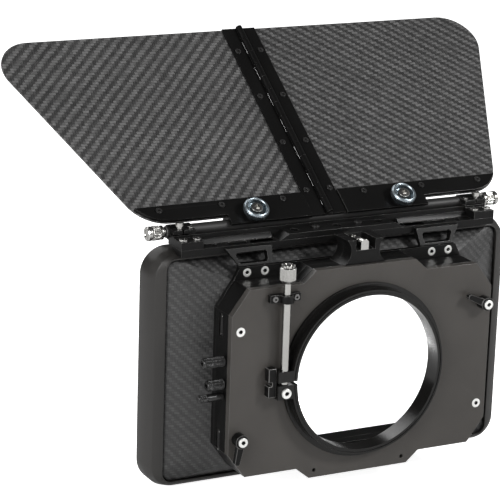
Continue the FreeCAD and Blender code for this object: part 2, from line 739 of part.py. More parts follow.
def make_window_bracket(label, sign):
    """A bracket with a window, from the front frame's ear up and forward to the bridge."""
    body = new_body(label)
    section = sketch_on(body, "YZ_Plane", "0")
    foot = "frame_front + frame_thickness"
    low = "plate_half_height + 2.6"
    top = "bridge_top - 0.9"
    draw_outline(section, [(f"{foot} + 0.02", low), (f"{foot} + 0.02", "frame_top"),
                           ("bridge_rear - bracket_thickness", top),
                           ("bridge_rear - 0.02", top),
                           ("bridge_rear - 0.02", "bridge_bottom - 1.2"),
                           (f"{foot} + 2.4", "frame_top - 2"), (f"{foot} + 2.4", low)])
    blank = body.newObject("PartDesign::Pad", f"{label}_blank")
    blank.Profile = section
    bind(blank, "Length", "80")
    blank.Reversed = sign < 0
    trim = sketch_on(body, "XZ_Plane", "0")
    for outline in ([("- 1", "50"), ("50.5", "50"), ("50.5", "frame_top"), ("48.5", "77"), ("- 1", "77")],
                    [("72", "50"), ("90", "50"), ("90", "77"), ("80.9", "77"), ("72", "frame_top + 0.3")]):
        draw_outline(trim, [(mirrored(across, sign), up) for across, up in outline])
    pocket(body, trim)
    corners = [(mirrored(across, sign), up)
               for across, up in (("53", "65.4"), ("70.9", "65.4"), ("74.2", "71.8"), ("52.6", "71.8"))]
    points = [FreeCAD.Vector(value(across), 20, value(up)) for across, up in corners]
    prism = Part.Face(Part.makePolygon(points + points[:1])).extrude(Y_AXIS * 20)
    long_edges = [edge for edge in prism.Edges if abs(edge.tangentAt(edge.FirstParameter).y) > 0.9]
    window = doc.addObject("Part::Feature", f"{label}_window")
    window.Shape = prism.makeFillet(1.7, long_edges)
    carve(label, window)


def make_end_clamp(label, sign):
    """The block at one end of the bridge that carries the flag's tube in a split eye."""
    width = "bridge_half_length - clamp_inner_end"
    left = "clamp_inner_end" if sign > 0 else minus("bridge_half_length")
    foot = box([left, "bridge_rear", "bridge_top"], [width, "bridge_front - bridge_rear", "clamp_foot_height"])
    eye = rod([left, "tube_forward", "tube_height"], X_AXIS, "clamp_eye_radius", width)
    web = box([left, "tube_forward - 6.4", "tube_height - 4.25"], [width, "6.4", "4.25"])
    ear = box([left, "tube_forward - 9.2", "bridge_top"], [width, "7.6", "tube_height - bridge_top + 2.7"])
    bore = rod([f"{left} - 1", "tube_forward", "tube_height"], X_AXIS, "tube_radius + tube_clearance", f"{width} + 2")
    split = box([f"{left} - 1", "tube_forward - 10", "tube_height - 0.4"], [f"{width} + 2", "8", "0.8"])
    slit_left = "clamp_inner_end + 7.5" if sign > 0 else minus("clamp_inner_end + 8.4")
    slit = box([slit_left, "tube_forward - 9.3", "tube_height + 0.3"], ["0.9", "3.2", "3"])
    keep(cut(fuse([foot, eye, web, ear]), [bore, split, slit]), label)


# Flag -----------------------------------------------------------------------------------

def flag_side(along):
    """How far the flag's slanted side is from the middle at a distance along the flag."""
    return (f"flag_base_half_width + (flag_top_half_width - flag_base_half_width)"
            f" * ({along} - flag_start) / (flag_length - flag_start)")


def make_flag_panel(label, sign):
    """One half of the flag with its two outer corners rounded."""
    inner = f"hinge_across + {sign} * panel_gap"
    low_side = mirrored("flag_base_half_width", sign)
    high_side = mirrored("flag_top_half_width", sign)
    body = new_body(label)
    sketch = sketch_on(body, "XY_Plane", "flag_offset")
    draw_outline(sketch, [(inner, "flag_start"), (low_side, "flag_start"),
                          (high_side, "flag_length"), (inner, "flag_length")])
    panel = pad(body, sketch, "panel_thickness")
    panel = round_corner(body, panel, low_side, "flag_start", "flag_base_radius")
    round_corner(body, panel, high_side, "flag_length", "flag_top_radius")
    tilt_with_flag(body)


def make_flag_bar(label, sign):
    """The stiffening bar along the lower edge of one half, with a tail behind the tube's middle part."""
    inner = f"hinge_across + {sign} * (leaf_width + 0.5)"
    step = mirrored("holder_half_length", sign)
    outline = [(inner, minus("bar_tail")), (step, minus("bar_tail")), (step, "flag_start")]
    for inset, rise in ((17.0, 0.0), (10.5, 0.9), (4.6, 3.5), (0.0, 7.6)):
        outline.append((mirrored(f"{flag_side('flag_start')} - {inset}", sign), f"flag_start + {rise}"))
    outline.append((mirrored(f"{flag_side('bar_end')} - 1.1", sign), "bar_end"))
    outline.append((inner, "bar_end"))
    tilt_with_flag(flat_plate(label, "flag_offset + panel_thickness", "bar_thickness", outline))


def make_hinge_leaf(label, sign):
    """One leaf of the long hinge with every other knuckle round the pin."""
    bottom = "flag_offset + panel_thickness"
    centre = f"{bottom} + knuckle_radius"
    pitch = (value("flag_length") - value("hinge_start")) / KNUCKLES
    left = "hinge_across" if sign > 0 else "hinge_across - leaf_width"
    blank = box([left, "hinge_start", bottom], ["leaf_width", "flag_length - hinge_start", "leaf_thickness"])
    channel = rod(["hinge_across", "hinge_start - 1", centre], Y_AXIS, "knuckle_radius + 0.3", "flag_length + 9")
    parts = [cut(blank, [channel])]
    tongue_left = "hinge_across" if sign > 0 else "hinge_across - knuckle_radius - 0.6"
    for index in range(0 if sign > 0 else 1, KNUCKLES, 2):
        start = f"hinge_start + {index * pitch + 0.15}"
        length = str(pitch - 0.3)
        parts.append(rod(["hinge_across", start, centre], Y_AXIS, "knuckle_radius", length))
        parts.append(box([tongue_left, start, bottom], ["knuckle_radius + 0.6", length, "leaf_thickness"]))
    clearance = "0.01" if sign > 0 else "pin_clearance"
    bore = rod(["hinge_across", "hinge_start - 1", centre], Y_AXIS, f"pin_radius + {clearance}", "flag_length + 9")
    keep(tilt_with_flag(cut(fuse(parts), [bore])), label)


def make_flag_frame():
    """The tube, the open-backed holder on it and the hinge pin."""
    tube = rod([minus("tube_half_length"), "tube_forward", "tube_height"], X_AXIS, "tube_radius",
               "2 * tube_half_length")
    keep(tube, "flag_tube")
    length = "2 * holder_half_length"
    left = minus("holder_half_length")
    block = box([left, minus("holder_rear"), minus("holder_depth")],
                [length, "holder_rear + holder_front", "holder_depth + flag_offset - 0.02"])
    lip = box([left, minus("holder_rear"), "0"],
              [length, "holder_rear + flag_start - 0.1", "flag_offset + panel_thickness - 0.02"])
    bore = rod([f"{left} - 1", "0", "0"], X_AXIS, "tube_radius + 0.01", f"{length} + 2")
    seats = [rod([across, "flag_knob_along", "1"], Z_AXIS, "1.6", "6")
             for across in ("flag_knob_across", minus("flag_knob_across"))]
    keep(tilt_with_flag(cut(fuse([block, lip]), [bore] + seats)), "flag_holder")
    pin = rod(["hinge_across", "hinge_start + 0.3", "flag_offset + panel_thickness + knuckle_radius"], Y_AXIS,
              "pin_radius", "flag_length - hinge_start - 0.6")
    keep(tilt_with_flag(gather([pin])), "hinge_pin")


def make_flag_knob(label, sign):
    """A round thumb knob on the flag's bar: a disc, a hub with a washer and a short shank."""
    across = mirrored("flag_knob_across", sign)
    seat = "flag_offset + panel_thickness + bar_thickness"
    along = "flag_knob_along"
    washer = rod([across, along, f"{seat} + 0.05"], Z_AXIS, "flag_knob_radius - 2.4", "0.8")
    hub = rod([across, along, f"{seat} + 0.4"], Z_AXIS, "flag_knob_radius - 3.4", "flag_knob_height - 1")
    disc = rod([across, along, f"{seat} + 2.2"], Z_AXIS, "flag_knob_radius", "flag_knob_height - 2.2")
    dish = rod([across, along, f"{seat} + flag_knob_height - 1.6"], Z_AXIS, "flag_knob_radius - 2.3", "3")
    shank = rod([across, along, f"{seat} - bar_thickness - 0.3"], Z_AXIS, "1.1", "5")
    ring = cut(disc, [dish])
    keep(tilt_with_flag(fuse([washer, ring, hub, shank])), label)


def bore_bars_for_knobs():
    """Bore both bars for the thumb knobs' shanks."""
    for label, sign in (("flag_bar_right", 1), ("flag_bar_left", -1)):
        bar = next(piece for piece in pieces if piece.Label == label)
        sketch = sketch_on(bar, "XY_Plane", "0")
        draw_circle(sketch, mirrored("flag_knob_across", sign), "flag_knob_along", "1.17")
        pocket(bar, sketch)


# Controls -------------------------------------------------------------------------------

def make_side_control(label, head_length, head_radius):
    """A knob or pin on the left side of the filter stage, with its shank in the wall."""
    along, up = SIDE_CONTROLS[label]
    head = rod([minus(f"plate_half_width + {head_length} + 0.3"), along, up], X_AXIS, head_radius, head_length)
    shank = rod([minus("plate_half_width + 1"), along, up], X_AXIS, "1.4", "10")
    keep(fuse([head, shank]), label)


def make_lever(label, sign, aim):
    """A swivel latch on the plate: a hub that stands off the plate and a tapering arm."""
    body = new_body(label)
    sketch = sketch_on(body, "XZ_Plane", "2.6")
    draw_outline(sketch, [("0", "2.8"), ("3.4", "2.1"), ("lever_length", "1.6"), ("lever_length + 0.8", "0.9"),
                          ("lever_length + 0.8", "- 0.9"), ("lever_length", "- 1.6"), ("3.4", "- 2.1"),
                          ("0", "- 2.8")])
    pad(body, sketch, "3.4")
    hub = sketch_on(body, "XZ_Plane", "0.05")
    draw_circle(hub, "0", "0", "4.1")
    pad(body, hub, "lever_stand_off - 1.6")
    hole = sketch_on(body, "XZ_Plane", "0")
    draw_circle(hole, "0", "0", "1.55")
    pocket(body, hole)
    body.Placement = FreeCAD.Placement(FreeCAD.Vector(), FreeCAD.Rotation(Y_AXIS, -aim))
    bind(body, "Placement.Base.x", "corner_fixing_across" if sign > 0 else minus("corner_fixing_across"))
    bind(body, "Placement.Base.z", "corner_fixing_up" if sign > 0 else minus("corner_fixing_up"))


def make_tube_knob(label, sign):
    """The knurled knob on one end of the flag's tube, on a short neck."""
    neck = rod([minus("tube_half_length + 2.1") if sign < 0 else "tube_half_length + 0.1",
                "tube_forward", "tube_height"], X_AXIS, "2.4", "2")
    head = rod([minus("tube_half_length + 2 + end_knob_length") if sign < 0 else "tube_half_length + 2",
                "tube_forward", "tube_height"], X_AXIS, "end_knob_radius", "end_knob_length")
    keep(fuse([neck, head]), label)


def make_detent_strips():
    """The two spring strips in the left wall that hold the trays in place."""
    strips = []
    for bottom in DETENT_BOTTOMS:
        low = [minus("plate_half_width - 0.6"), "11.8", bottom]
        strips.append(box(low, ["0.6", "3.9", "13.4"]))
    keep(gather(strips), "detent_strips")


# Screws -----------------------------------------------------------------------------------

def both_sides(places):
    """The same places on the right and on the left."""
    return places + [(minus(across), along, up) for across, along, up in places]


def make_stage_screws():
    """The screws of the filter stage and the clamp."""
    minus_y = FreeCAD.Vector(0, -1, 0)
    minus_x = FreeCAD.Vector(-1, 0, 0)
    corners = [(minus("corner_fixing_across"), "0", "corner_fixing_up"),
               ("corner_fixing_across", "0", minus("corner_fixing_up"))]
    drive("plate_corner_screws", (2.9, 1.7, 1.45, 8.0), corners, minus_y,
          ("back_plate", "side_rail_left", "side_rail_right"), countersunk=True)
    pivots = [(across, minus("lever_stand_off - 1.55"), minus(up)) for across, _, up in corners]
    drive("latch_pivot_screws", (2.9, 1.3, 1.5, 6.4), pivots, minus_y, ())
    left, right = (f"{minus('clamp_screw_across')} {side} 6.9" for side in "-+")
    wings = [(across, "- 3.4", "guide_bottom + guide_height / 2") for across in (left, right)]
    drive("guide_screws", (1.7, 1.0, 0.9, 4.0), wings, minus_y, ("clamp_screw_guide", "back_plate"))
    drive("lug_screw", (3.0, 1.6, 1.4, 1.8),
          [(minus("clamp_screw_across"), minus("ring_height"), minus("lug_lower / 2 + 0.8"))], minus_y, ())
    dots = [(minus("plate_half_width - 0.6"), along, up)
            for along, up in (("12.9", "39"), ("14.2", "28"), ("12.9", "- 31.5"), ("14.2", "- 42.5"))]
    drive("detent_screws", (0.7, 0.5, 0.4, 1.6), dots, minus_x, ("detent_strips", "side_rail_left"))


def make_hood_screws():
    """The screws that hold the hood's clamping frame and the two window brackets to the front frame."""
    ears = both_sides([("56.6", "frame_front", "61"), ("68.2", "frame_front", "61")])
    drive("bracket_screws", (2.7, 1.6, 1.3, 5.2), ears, FreeCAD.Vector(0, -1, 0),
          ("front_frame", "window_bracket_left", "window_bracket_right"), countersunk=True)
    seat = "frame_front + frame_thickness + 2"
    places = both_sides([(across, seat, up) for across, up in
                         (("77.5", "30"), ("77.5", "- 30"), ("40", "51.3"), ("40", "- 51.3"))])
    drive("hood_screws", (2.2, 1.3, 1.1, 4.8), places, Y_AXIS, ("hood_clamp_frame", "front_frame"))


def make_bridge_screws():
    """The screws on top of the bridge: two in the rail, two in each clamp's foot and two in each ear."""
    drive("rail_screws", (2.4, 1.1, 1.2, 3.3),
          both_sides([("rail_hole_spacing / 2", "bridge_rear + 7.6", "bridge_top + rail_height")]), Z_AXIS,
          ("accessory_rail",))
    feet = both_sides([(across, "bridge_rear + 4.1", "bridge_top + clamp_foot_height")
                       for across in ("94.4", "102.9")])
    drive("end_clamp_screws", (2.6, 1.2, 1.3, 8.0), feet, Z_AXIS,
          ("end_clamp_left", "end_clamp_right", "bridge_plate"))
    split_top = "tube_height + 2.7"
    drive("tube_pinch_screws", (1.5, 1.0, 0.8, 5.0),
          both_sides([("clamp_inner_end + 1.9", "tube_forward - 5.6", split_top)]), Z_AXIS,
          ("end_clamp_left", "end_clamp_right"))
    big = screw_shape(2.5, 2.2, 1.9, 1.8).fuse(screw_shape(1.9, 1.0, 1.2, 8.0))
    slot = Part.makeBox(6, 0.7, 1.2, FreeCAD.Vector(-3, -0.35, 1.1))
    turned = FreeCAD.Rotation(Z_AXIS, 25)
    slot.Placement = FreeCAD.Placement(FreeCAD.Vector(), turned)
    places = both_sides([("clamp_inner_end + 9", "tube_forward - 5.6", f"{split_top} + 1.8")])
    keep(screw_group("tube_lock_screws", big.cut(slot).removeSplitter(), places, Z_AXIS), "tube_lock_screws")
    room = screw_group("tube_lock_screws_holes", screw_shape(1.9, 1.0, 1.2 + SCREW_GAP, 8.0), places, Z_AXIS)
    for label in ("end_clamp_left", "end_clamp_right"):
        carve(label, room)


def make_flag_screws(side, sign):
    """The screws that hold one half's leaf and bar to its panel."""
    leaf_top = "flag_offset + panel_thickness + leaf_thickness"
    bar_top = "flag_offset + panel_thickness + bar_thickness"
    places = [(f"hinge_across + {sign} * 8", f"flag_start + {along}", leaf_top) for along in (13, 52, 90.4, 129.1)]
    places += [(mirrored(across, sign), "flag_start + 7.5", bar_top) for across in ("27.7", "68.3", "109")]
    drive(f"flag_screws_{side}", (1.9, 0.9, 0.9, 1.8), places, Z_AXIS,
          (f"flag_panel_{side}", f"hinge_leaf_{side}", f"flag_bar_{side}"), flag=True)


# Assembly ---------------------------------------------------------------------------------

def check_and_export():
    """Stop on any failed object or bad shape, then write one STEP file for each sub-part."""
    doc.recompute()
    for thing in doc.Objects:
        if "Invalid" in thing.State or "Error" in thing.State:
            raise RuntimeError(f"{thing.Name} ({thing.Label}) failed: {thing.State}")
    os.makedirs("parts", exist_ok=True)
    for piece in pieces:
        shape = piece.Shape
        if shape.isNull() or not shape.isValid() or shape.Volume <= 0:
            raise RuntimeError(f"{piece.Label} has no good shape")
        shape.exportStep(f"parts/{piece.Label}.step")
        print(f"{piece.Label:24s} solids {len(shape.Solids):2d}  volume {shape.Volume:10.1f}")
    print(len(pieces), "sub-parts")


fill_sheet()
make_hood_shell()
make_hood_rim()
make_hood_clamp_frame()
make_front_frame()
make_side_rail("side_rail_right", 1)
make_side_rail("side_rail_left", -1)
cut_left_wall()
make_bottom_rail()
make_back_plate()
make_trays()
make_clamp_ring()
make_clamp_screw()
make_clamp_fittings()
make_bridge_plate()
make_accessory_rail()
make_window_bracket("window_bracket_right", 1)
make_window_bracket("window_bracket_left", -1)
make_end_clamp("end_clamp_right", 1)
make_end_clamp("end_clamp_left", -1)
make_flag_frame()
make_flag_panel("flag_panel_right", 1)
make_flag_panel("flag_panel_left", -1)
make_flag_bar("flag_bar_right", 1)
make_flag_bar("flag_bar_left", -1)
make_hinge_leaf("hinge_leaf_right", 1)
make_hinge_leaf("hinge_leaf_left", -1)
bore_bars_for_knobs()
make_flag_knob("flag_knob_right", 1)
make_flag_knob("flag_knob_left", -1)
make_flag_screws("right", 1)
make_flag_screws("left", -1)
make_tube_knob("tube_knob_right", 1)
make_tube_knob("tube_knob_left", -1)
make_side_control("tray_lock_knob_upper", "14", "side_knob_radius")
make_side_control("tray_lock_knob_lower", "11", "side_knob_radius")
make_side_control("tray_release_pin", "16", "2.6")
make_lever("latch_lever_right", 1, 155)
make_lever("latch_lever_left", -1, -101)
make_detent_strips()
make_stage_screws()
make_hood_screws()
make_bridge_screws()
check_and_export()
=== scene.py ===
"""Looks for the clamp-on matte box: finishes, rounded edges, knurling, weave, light and camera.

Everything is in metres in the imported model's frame, except that the turned pieces' profiles are
in millimetres. Places come from the model's own shapes.
"""
import json
import math

import bmesh
import bpy
from mathutils import Matrix, Vector


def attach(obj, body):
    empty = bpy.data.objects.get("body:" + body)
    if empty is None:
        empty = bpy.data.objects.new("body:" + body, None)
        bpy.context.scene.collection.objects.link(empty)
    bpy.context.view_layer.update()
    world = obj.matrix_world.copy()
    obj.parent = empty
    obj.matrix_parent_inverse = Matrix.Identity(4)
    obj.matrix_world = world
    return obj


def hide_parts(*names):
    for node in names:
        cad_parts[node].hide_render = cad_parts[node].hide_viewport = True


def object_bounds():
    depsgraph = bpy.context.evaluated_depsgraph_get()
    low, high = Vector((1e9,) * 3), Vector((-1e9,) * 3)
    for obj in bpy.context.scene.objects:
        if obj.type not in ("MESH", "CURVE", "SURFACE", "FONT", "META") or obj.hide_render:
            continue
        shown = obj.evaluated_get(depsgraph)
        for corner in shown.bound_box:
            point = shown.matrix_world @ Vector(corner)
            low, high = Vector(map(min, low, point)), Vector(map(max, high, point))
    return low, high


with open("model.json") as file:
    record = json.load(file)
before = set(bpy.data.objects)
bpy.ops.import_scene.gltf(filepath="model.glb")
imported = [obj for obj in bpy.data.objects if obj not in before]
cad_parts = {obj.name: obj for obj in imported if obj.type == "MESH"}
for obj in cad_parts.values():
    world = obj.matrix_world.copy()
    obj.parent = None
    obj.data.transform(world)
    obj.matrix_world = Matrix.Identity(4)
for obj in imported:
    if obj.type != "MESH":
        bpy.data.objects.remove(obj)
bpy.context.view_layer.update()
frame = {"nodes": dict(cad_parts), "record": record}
nodes = frame["nodes"]
record = frame["record"]
body_of_node = {node: body for body, members in record["behaviour"]["bodies"].items()
                for node in members}
slot_of_node = {entry["node"]: entry["material_slot"] for entry in record["subparts"]}

MM = 0.001
UP, LEFT, RIGHT = (0, 0, 1), (-1, 0, 0), (1, 0, 0)
REAR, FRONT = (0, -1, 0), (0, 1, 0)
FLAG_TILT = math.radians(35.0)
FLAG_NORMAL = (0.0, -math.sin(FLAG_TILT), math.cos(FLAG_TILT))
SIDES = ("left", "right")


# Node graphs ------------------------------------------------------------------------------

class Graph:
    """A small helper that builds the node tree of one material or world."""

    def __init__(self, owner):
        owner.use_nodes = True
        self.owner = owner
        self.tree = owner.node_tree
        self.surface = self.tree.nodes.get("Principled BSDF") or self.tree.nodes["Background"]

    def feed(self, socket, given):
        """Link the given socket into this one, or set this one's own value."""
        if isinstance(given, bpy.types.NodeSocket):
            self.tree.links.new(given, socket)
        else:
            socket.default_value = given

    def node(self, kind, **settings):
        """A new node. A name of a socket is fed; any other name is the node's own setting."""
        made = self.tree.nodes.new(kind)
        for name, given in settings.items():
            socket = name.replace("_", " ")
            if socket in made.inputs:
                self.feed(made.inputs[socket], given)
            else:
                setattr(made, name, given)
        return made

    def operate(self, kind, operation, values):
        made = self.node(kind, operation=operation)
        for socket, given in zip(made.inputs, values):
            self.feed(socket, given)
        return made.outputs[0]

    def math(self, operation, *values):
        return self.operate("ShaderNodeMath", operation, values)

    def vector_math(self, operation, *values):
        return self.operate("ShaderNodeVectorMath", operation, values)

    def linear(self, value, gain, offset):
        """The value times the gain, plus the offset."""
        return self.math("MULTIPLY_ADD", value, gain, offset)

    def mix(self, kind, factor, first, second):
        """Goes from the first to the second as the factor goes from 0 to 1."""
        made = self.node("ShaderNodeMix", data_type=kind, Factor=factor, A=first, B=second)
        return made.outputs["Result"]

    def ease(self, value, start, end, before, after):
        """Goes smoothly from one level to another while the value goes from start to end."""
        made = self.node("ShaderNodeMapRange", interpolation_type="SMOOTHSTEP", Value=value,
                         From_Min=start, From_Max=end, To_Min=before, To_Max=after)
        return made.outputs["Result"]

    def place(self, turn=(0.0, 0.0, 0.0)):
        """The object's own coordinates, turned."""
        coordinates = self.node("ShaderNodeTexCoord").outputs["Object"]
        return self.node("ShaderNodeMapping", Vector=coordinates, Rotation=turn).outputs["Vector"]

    def split(self, vector):
        return self.node("ShaderNodeSeparateXYZ", Vector=vector).outputs

    def join(self, x, y, z):
        return self.node("ShaderNodeCombineXYZ", X=x, Y=y, Z=z).outputs[0]

    def noise(self, vector, scale, detail=3.0, roughness=0.5):
        made = self.node("ShaderNodeTexNoise", Vector=vector, Scale=scale, Detail=detail,
                         Roughness=roughness)
        return made.outputs["Fac"]

    def camera_ray(self):
        """One for what the camera sees directly, nought for light that falls on the object."""
        return self.node("ShaderNodeLightPath").outputs["Is Camera Ray"]

    def bump(self, height, distance, strength):
        made = self.node("ShaderNodeBump", Height=height, Distance=distance, Strength=strength)
        return made.outputs["Normal"]

    def finish(self, **inputs):
        for name, given in inputs.items():
            self.feed(self.surface.inputs[name.replace("_", " ")], given)
        return self.owner


def new_graph(name):
    return Graph(bpy.data.materials.new(name))


def grey(level, warmth=0.0):
    """An opaque grey, a little warmer for a positive warmth."""
    return (level * (1 + warmth), level, level * (1 - warmth), 1.0)


# Materials --------------------------------------------------------------------------------

def anodised(name, level, rough, reflection, warmth=0.02):
    """Bead-blasted, dyed aluminium: fine grain, soft cloudy variation in shade and gloss."""
    darkest, lightest = 0.8 * level, 1.25 * level
    cloud_gloss, grain_gloss = 0.10, 0.12
    graph = new_graph(name)
    place = graph.place()
    cloud = graph.noise(place, scale=35.0, detail=4.0)
    grain = graph.noise(place, scale=2600.0, detail=2.0, roughness=0.6)
    glossiest = rough - (cloud_gloss + grain_gloss) / 2
    gloss = graph.linear(grain, grain_gloss, graph.linear(cloud, cloud_gloss, glossiest))
    return graph.finish(Base_Color=graph.mix("RGBA", cloud, grey(darkest, warmth),
                                             grey(lightest, warmth)),
                        Metallic=0.0, Roughness=gloss, Specular_IOR_Level=reflection,
                        Normal=graph.bump(grain, distance=0.04 * MM, strength=0.5))


def turned_steel(name, colour, rough):
    """Bright steel with fine tool marks and light handling smudges."""
    smudged = tuple(0.82 * part for part in colour)
    smudge_gloss, mark_gloss = 0.18, 0.08
    graph = new_graph(name)
    place = graph.place()
    smudge = graph.noise(place, scale=120.0, detail=5.0, roughness=0.6)
    marks = graph.noise(place, scale=5200.0, detail=2.0, roughness=0.7)
    gloss = graph.linear(smudge, smudge_gloss, graph.linear(marks, mark_gloss, rough - 0.1))
    return graph.finish(Base_Color=graph.mix("RGBA", smudge, smudged + (1.0,), colour + (1.0,)),
                        Metallic=1.0, Roughness=gloss,
                        Normal=graph.bump(marks, distance=0.03 * MM, strength=0.4))


def turned_black(name, level, rough, reflection, pitch):
    """Glossy black round work: fine concentric tool lines on its faces and along its bore."""
    warmth = 0.05
    darkest, lightest = 0.7 * level, 1.4 * level
    cloud_gloss = 0.14
    turns = math.tau / pitch
    graph = new_graph(name)
    place = graph.place()
    parts = graph.split(place)
    radius = graph.math("SQRT", graph.math("ADD",
                                           graph.math("MULTIPLY", parts["X"], parts["X"]),
                                           graph.math("MULTIPLY", parts["Z"], parts["Z"])))
    facing = graph.math("SINE", graph.math("MULTIPLY", radius, turns))
    boring = graph.math("SINE", graph.math("MULTIPLY", parts["Y"], turns))
    cloud = graph.noise(place, scale=60.0, detail=4.0)
    return graph.finish(Base_Color=graph.mix("RGBA", cloud, grey(darkest, warmth),
                                             grey(lightest, warmth)),
                        Metallic=0.0, Specular_IOR_Level=reflection,
                        Roughness=graph.linear(cloud, cloud_gloss, rough - cloud_gloss / 2),
                        Normal=graph.bump(graph.math("ADD", facing, boring),
                                          distance=0.012 * MM, strength=0.5))


def wandering(graph, woven, tow):
    """The weave's coordinates, drifting slowly so that no tow runs quite straight."""
    wander = graph.node("ShaderNodeTexNoise", Vector=woven, Scale=90.0).outputs["Color"]
    drift = graph.vector_math("SUBTRACT", wander, (0.5, 0.5, 0.5))
    return graph.vector_math("MULTIPLY_ADD", drift, (tow * 0.5,) * 3, woven)


def crown(graph, inside):
    """How high a tow stands across its width: nought at its edges, one in its middle."""
    centred = graph.linear(inside, 2.0, -1.0)
    return graph.math("SUBTRACT", 1.0, graph.math("MULTIPLY", centred, centred))


def fibres(graph, tows_x, tows_y, stretch_x, stretch_y, layer):
    """Fine streaks, long in the direction that has the smaller stretch."""
    streaks = graph.join(graph.math("MULTIPLY", tows_x, stretch_x),
                         graph.math("MULTIPLY", tows_y, stretch_y), layer)
    return graph.noise(streaks, scale=1.6, detail=2.0)


def twill(name, along, mirror, dark, light, relief, gloss_weft, gloss_warp,
          turn=(0.0, 0.0, 0.0), tow=2.0 * MM):
    """Two-by-two twill: each tow floats over two and under two, one step along on each row."""
    repeat, floats_below = 4.0, 1.5
    fine, long = 9.0, 0.6
    graph = new_graph(name)
    woven = graph.place(turn)
    parts = graph.split(wandering(graph, woven, tow))
    tows_x = graph.math("DIVIDE", parts["X"], tow)
    tows_y = graph.math("DIVIDE", parts[along], tow)
    column, row = graph.math("FLOOR", tows_x), graph.math("FLOOR", tows_y)
    step = graph.math("ADD" if mirror else "SUBTRACT", column, row)
    over = graph.math("LESS_THAN", graph.math("FLOORED_MODULO", step, repeat), floats_below)
    height = graph.mix("FLOAT", over, crown(graph, graph.math("FRACT", tows_y)),
                       crown(graph, graph.math("FRACT", tows_x)))
    fibre = graph.mix("FLOAT", over, fibres(graph, tows_x, tows_y, long, fine, 3.0),
                      fibres(graph, tows_x, tows_y, fine, long, 0.0))
    cell = graph.node("ShaderNodeTexWhiteNoise", noise_dimensions="2D",
                      Vector=graph.join(column, row, 0.0)).outputs["Value"]
    cloud = graph.noise(woven, scale=18.0)
    # Both directions of tow are the same fibre, yet one is painted at the light level and the
    # other at the dark level: a painted sheen for how each direction catches the light.
    shade = graph.mix("FLOAT", over, light, dark)
    # The height factor paints each tow darker towards its edges: painted shade in the dips
    # between tows. The cell, fibre and cloud factors are the weave's own uneven tone.
    for pattern, share, least in ((cell, 0.6, 0.68), (fibre, 0.9, 0.55),
                                  (height, 0.55, 0.45), (cloud, 0.5, 0.75)):
        shade = graph.math("MULTIPLY", shade, graph.linear(pattern, share, least))
    colour = graph.node("ShaderNodeCombineColor", Red=shade,
                        Green=graph.math("MULTIPLY", shade, 0.99),
                        Blue=graph.math("MULTIPLY", shade, 0.985)).outputs[0]
    gloss = graph.math("ADD", graph.mix("FLOAT", over, gloss_weft, gloss_warp),
                       graph.math("MULTIPLY", fibre, 0.12))
    surface = graph.math("ADD", height, graph.math("MULTIPLY", fibre, 0.35))
    return graph.finish(Base_Color=colour, Metallic=0.0, Roughness=gloss,
                        Specular_IOR_Level=0.5, Coat_Weight=0.1, Coat_Roughness=0.35,
                        Normal=graph.bump(surface, distance=0.22 * MM, strength=relief))


def flag_twill(side, mirror, dark, light, relief):
    """The flag's weave lies in the tilted panel."""
    return twill(f"flag_twill_{side}", "Y", mirror, dark, light, relief, 0.42, 0.34,
                 turn=(-FLAG_TILT, 0.0, 0.0))


MATERIALS = {
    "anodised": anodised("anodised_black", 0.0035, 0.35, 0.13),
    "black_screw": anodised("black_oxide", 0.014, 0.28, 0.5),
    "knurled_black": anodised("anodised_knurled", 0.006, 0.26, 0.5),
    "silver": turned_steel("stainless", (0.42, 0.415, 0.40), 0.20),
    "knob_steel": turned_steel("satin_steel", (0.30, 0.345, 0.375), 0.30),
    # The shell's dark and light levels are the painted sheen of its two tow directions.
    "shell_black": twill("moulded_carbon", "Z", True, 0.010, 0.026, 0.3, 0.46, 0.40,
                         tow=1.4 * MM),
}
BRIGHT_SCREWS = ("plate_corner_screws", "latch_pivot_screws", "bracket_screws", "lug_screw")
OWN_FINISH = dict.fromkeys(BRIGHT_SCREWS,
                           turned_steel("bright_screw", (0.86, 0.86, 0.84), 0.44))
OWN_FINISH |= {
    "clamp_ring": turned_black("turned_ring", 0.005, 0.17, 0.24, 0.9 * MM),
    "back_plate": anodised("anodised_face", 0.0345, 0.42, 0.27, 0.085),
    "flag_tube": anodised("satin_tube", 0.012, 0.52, 0.35),
    "rail_screws": anodised("rail_screw_black", 0.012, 0.30, 0.5),
    "guide_screws": anodised("guide_screw_grey", 0.075, 0.28, 0.8),
    "hinge_pin": anodised("black_pin", 0.014, 0.30, 0.5),
    "hood_rim": anodised("moulded_border", 0.016, 0.40, 0.38, 0.07),
    # The flag panels' dark and light levels are the painted sheen of their two tow directions.
    "flag_panel_left": flag_twill("left", False, 0.034, 0.088, 0.5),
    "flag_panel_right": flag_twill("right", True, 0.030, 0.084, 0.6),
}
# A lighter grey laid on the rounded edges of the black parts: a painted highlight along them.
PAINTED_EDGE_HIGHLIGHT = anodised("painted_edge_highlight", 0.060, 0.30, 0.6, 0.03)
EDGED_SLOTS = ("anodised", "plate_black", "black_screw", "carbon")
# Painted shade in the screws' hex sockets: a dark material on the faces inside them.
SOCKET = anodised("socket_shadow", 0.006, 0.6, 0.1)


# Pieces that keep the CAD shape -----------------------------------------------------------

HEAD_DIRECTIONS = {
    "plate_corner_screws": REAR, "latch_pivot_screws": REAR, "guide_screws": REAR,
    "lug_screw": REAR, "bracket_screws": REAR, "hood_screws": FRONT, "rail_screws": UP,
    "end_clamp_screws": UP, "tube_pinch_screws": UP, "detent_screws": LEFT,
    "flag_screws_left": FLAG_NORMAL, "flag_screws_right": FLAG_NORMAL,
}
SOCKET_SHARE = 0.46
WELD_DISTANCE = 2e-6
FLAT_ANGLE = math.radians(0.6)
SHARP_ANGLE = math.radians(32.0)
TURNED_SHARP_ANGLE = math.radians(28.0)


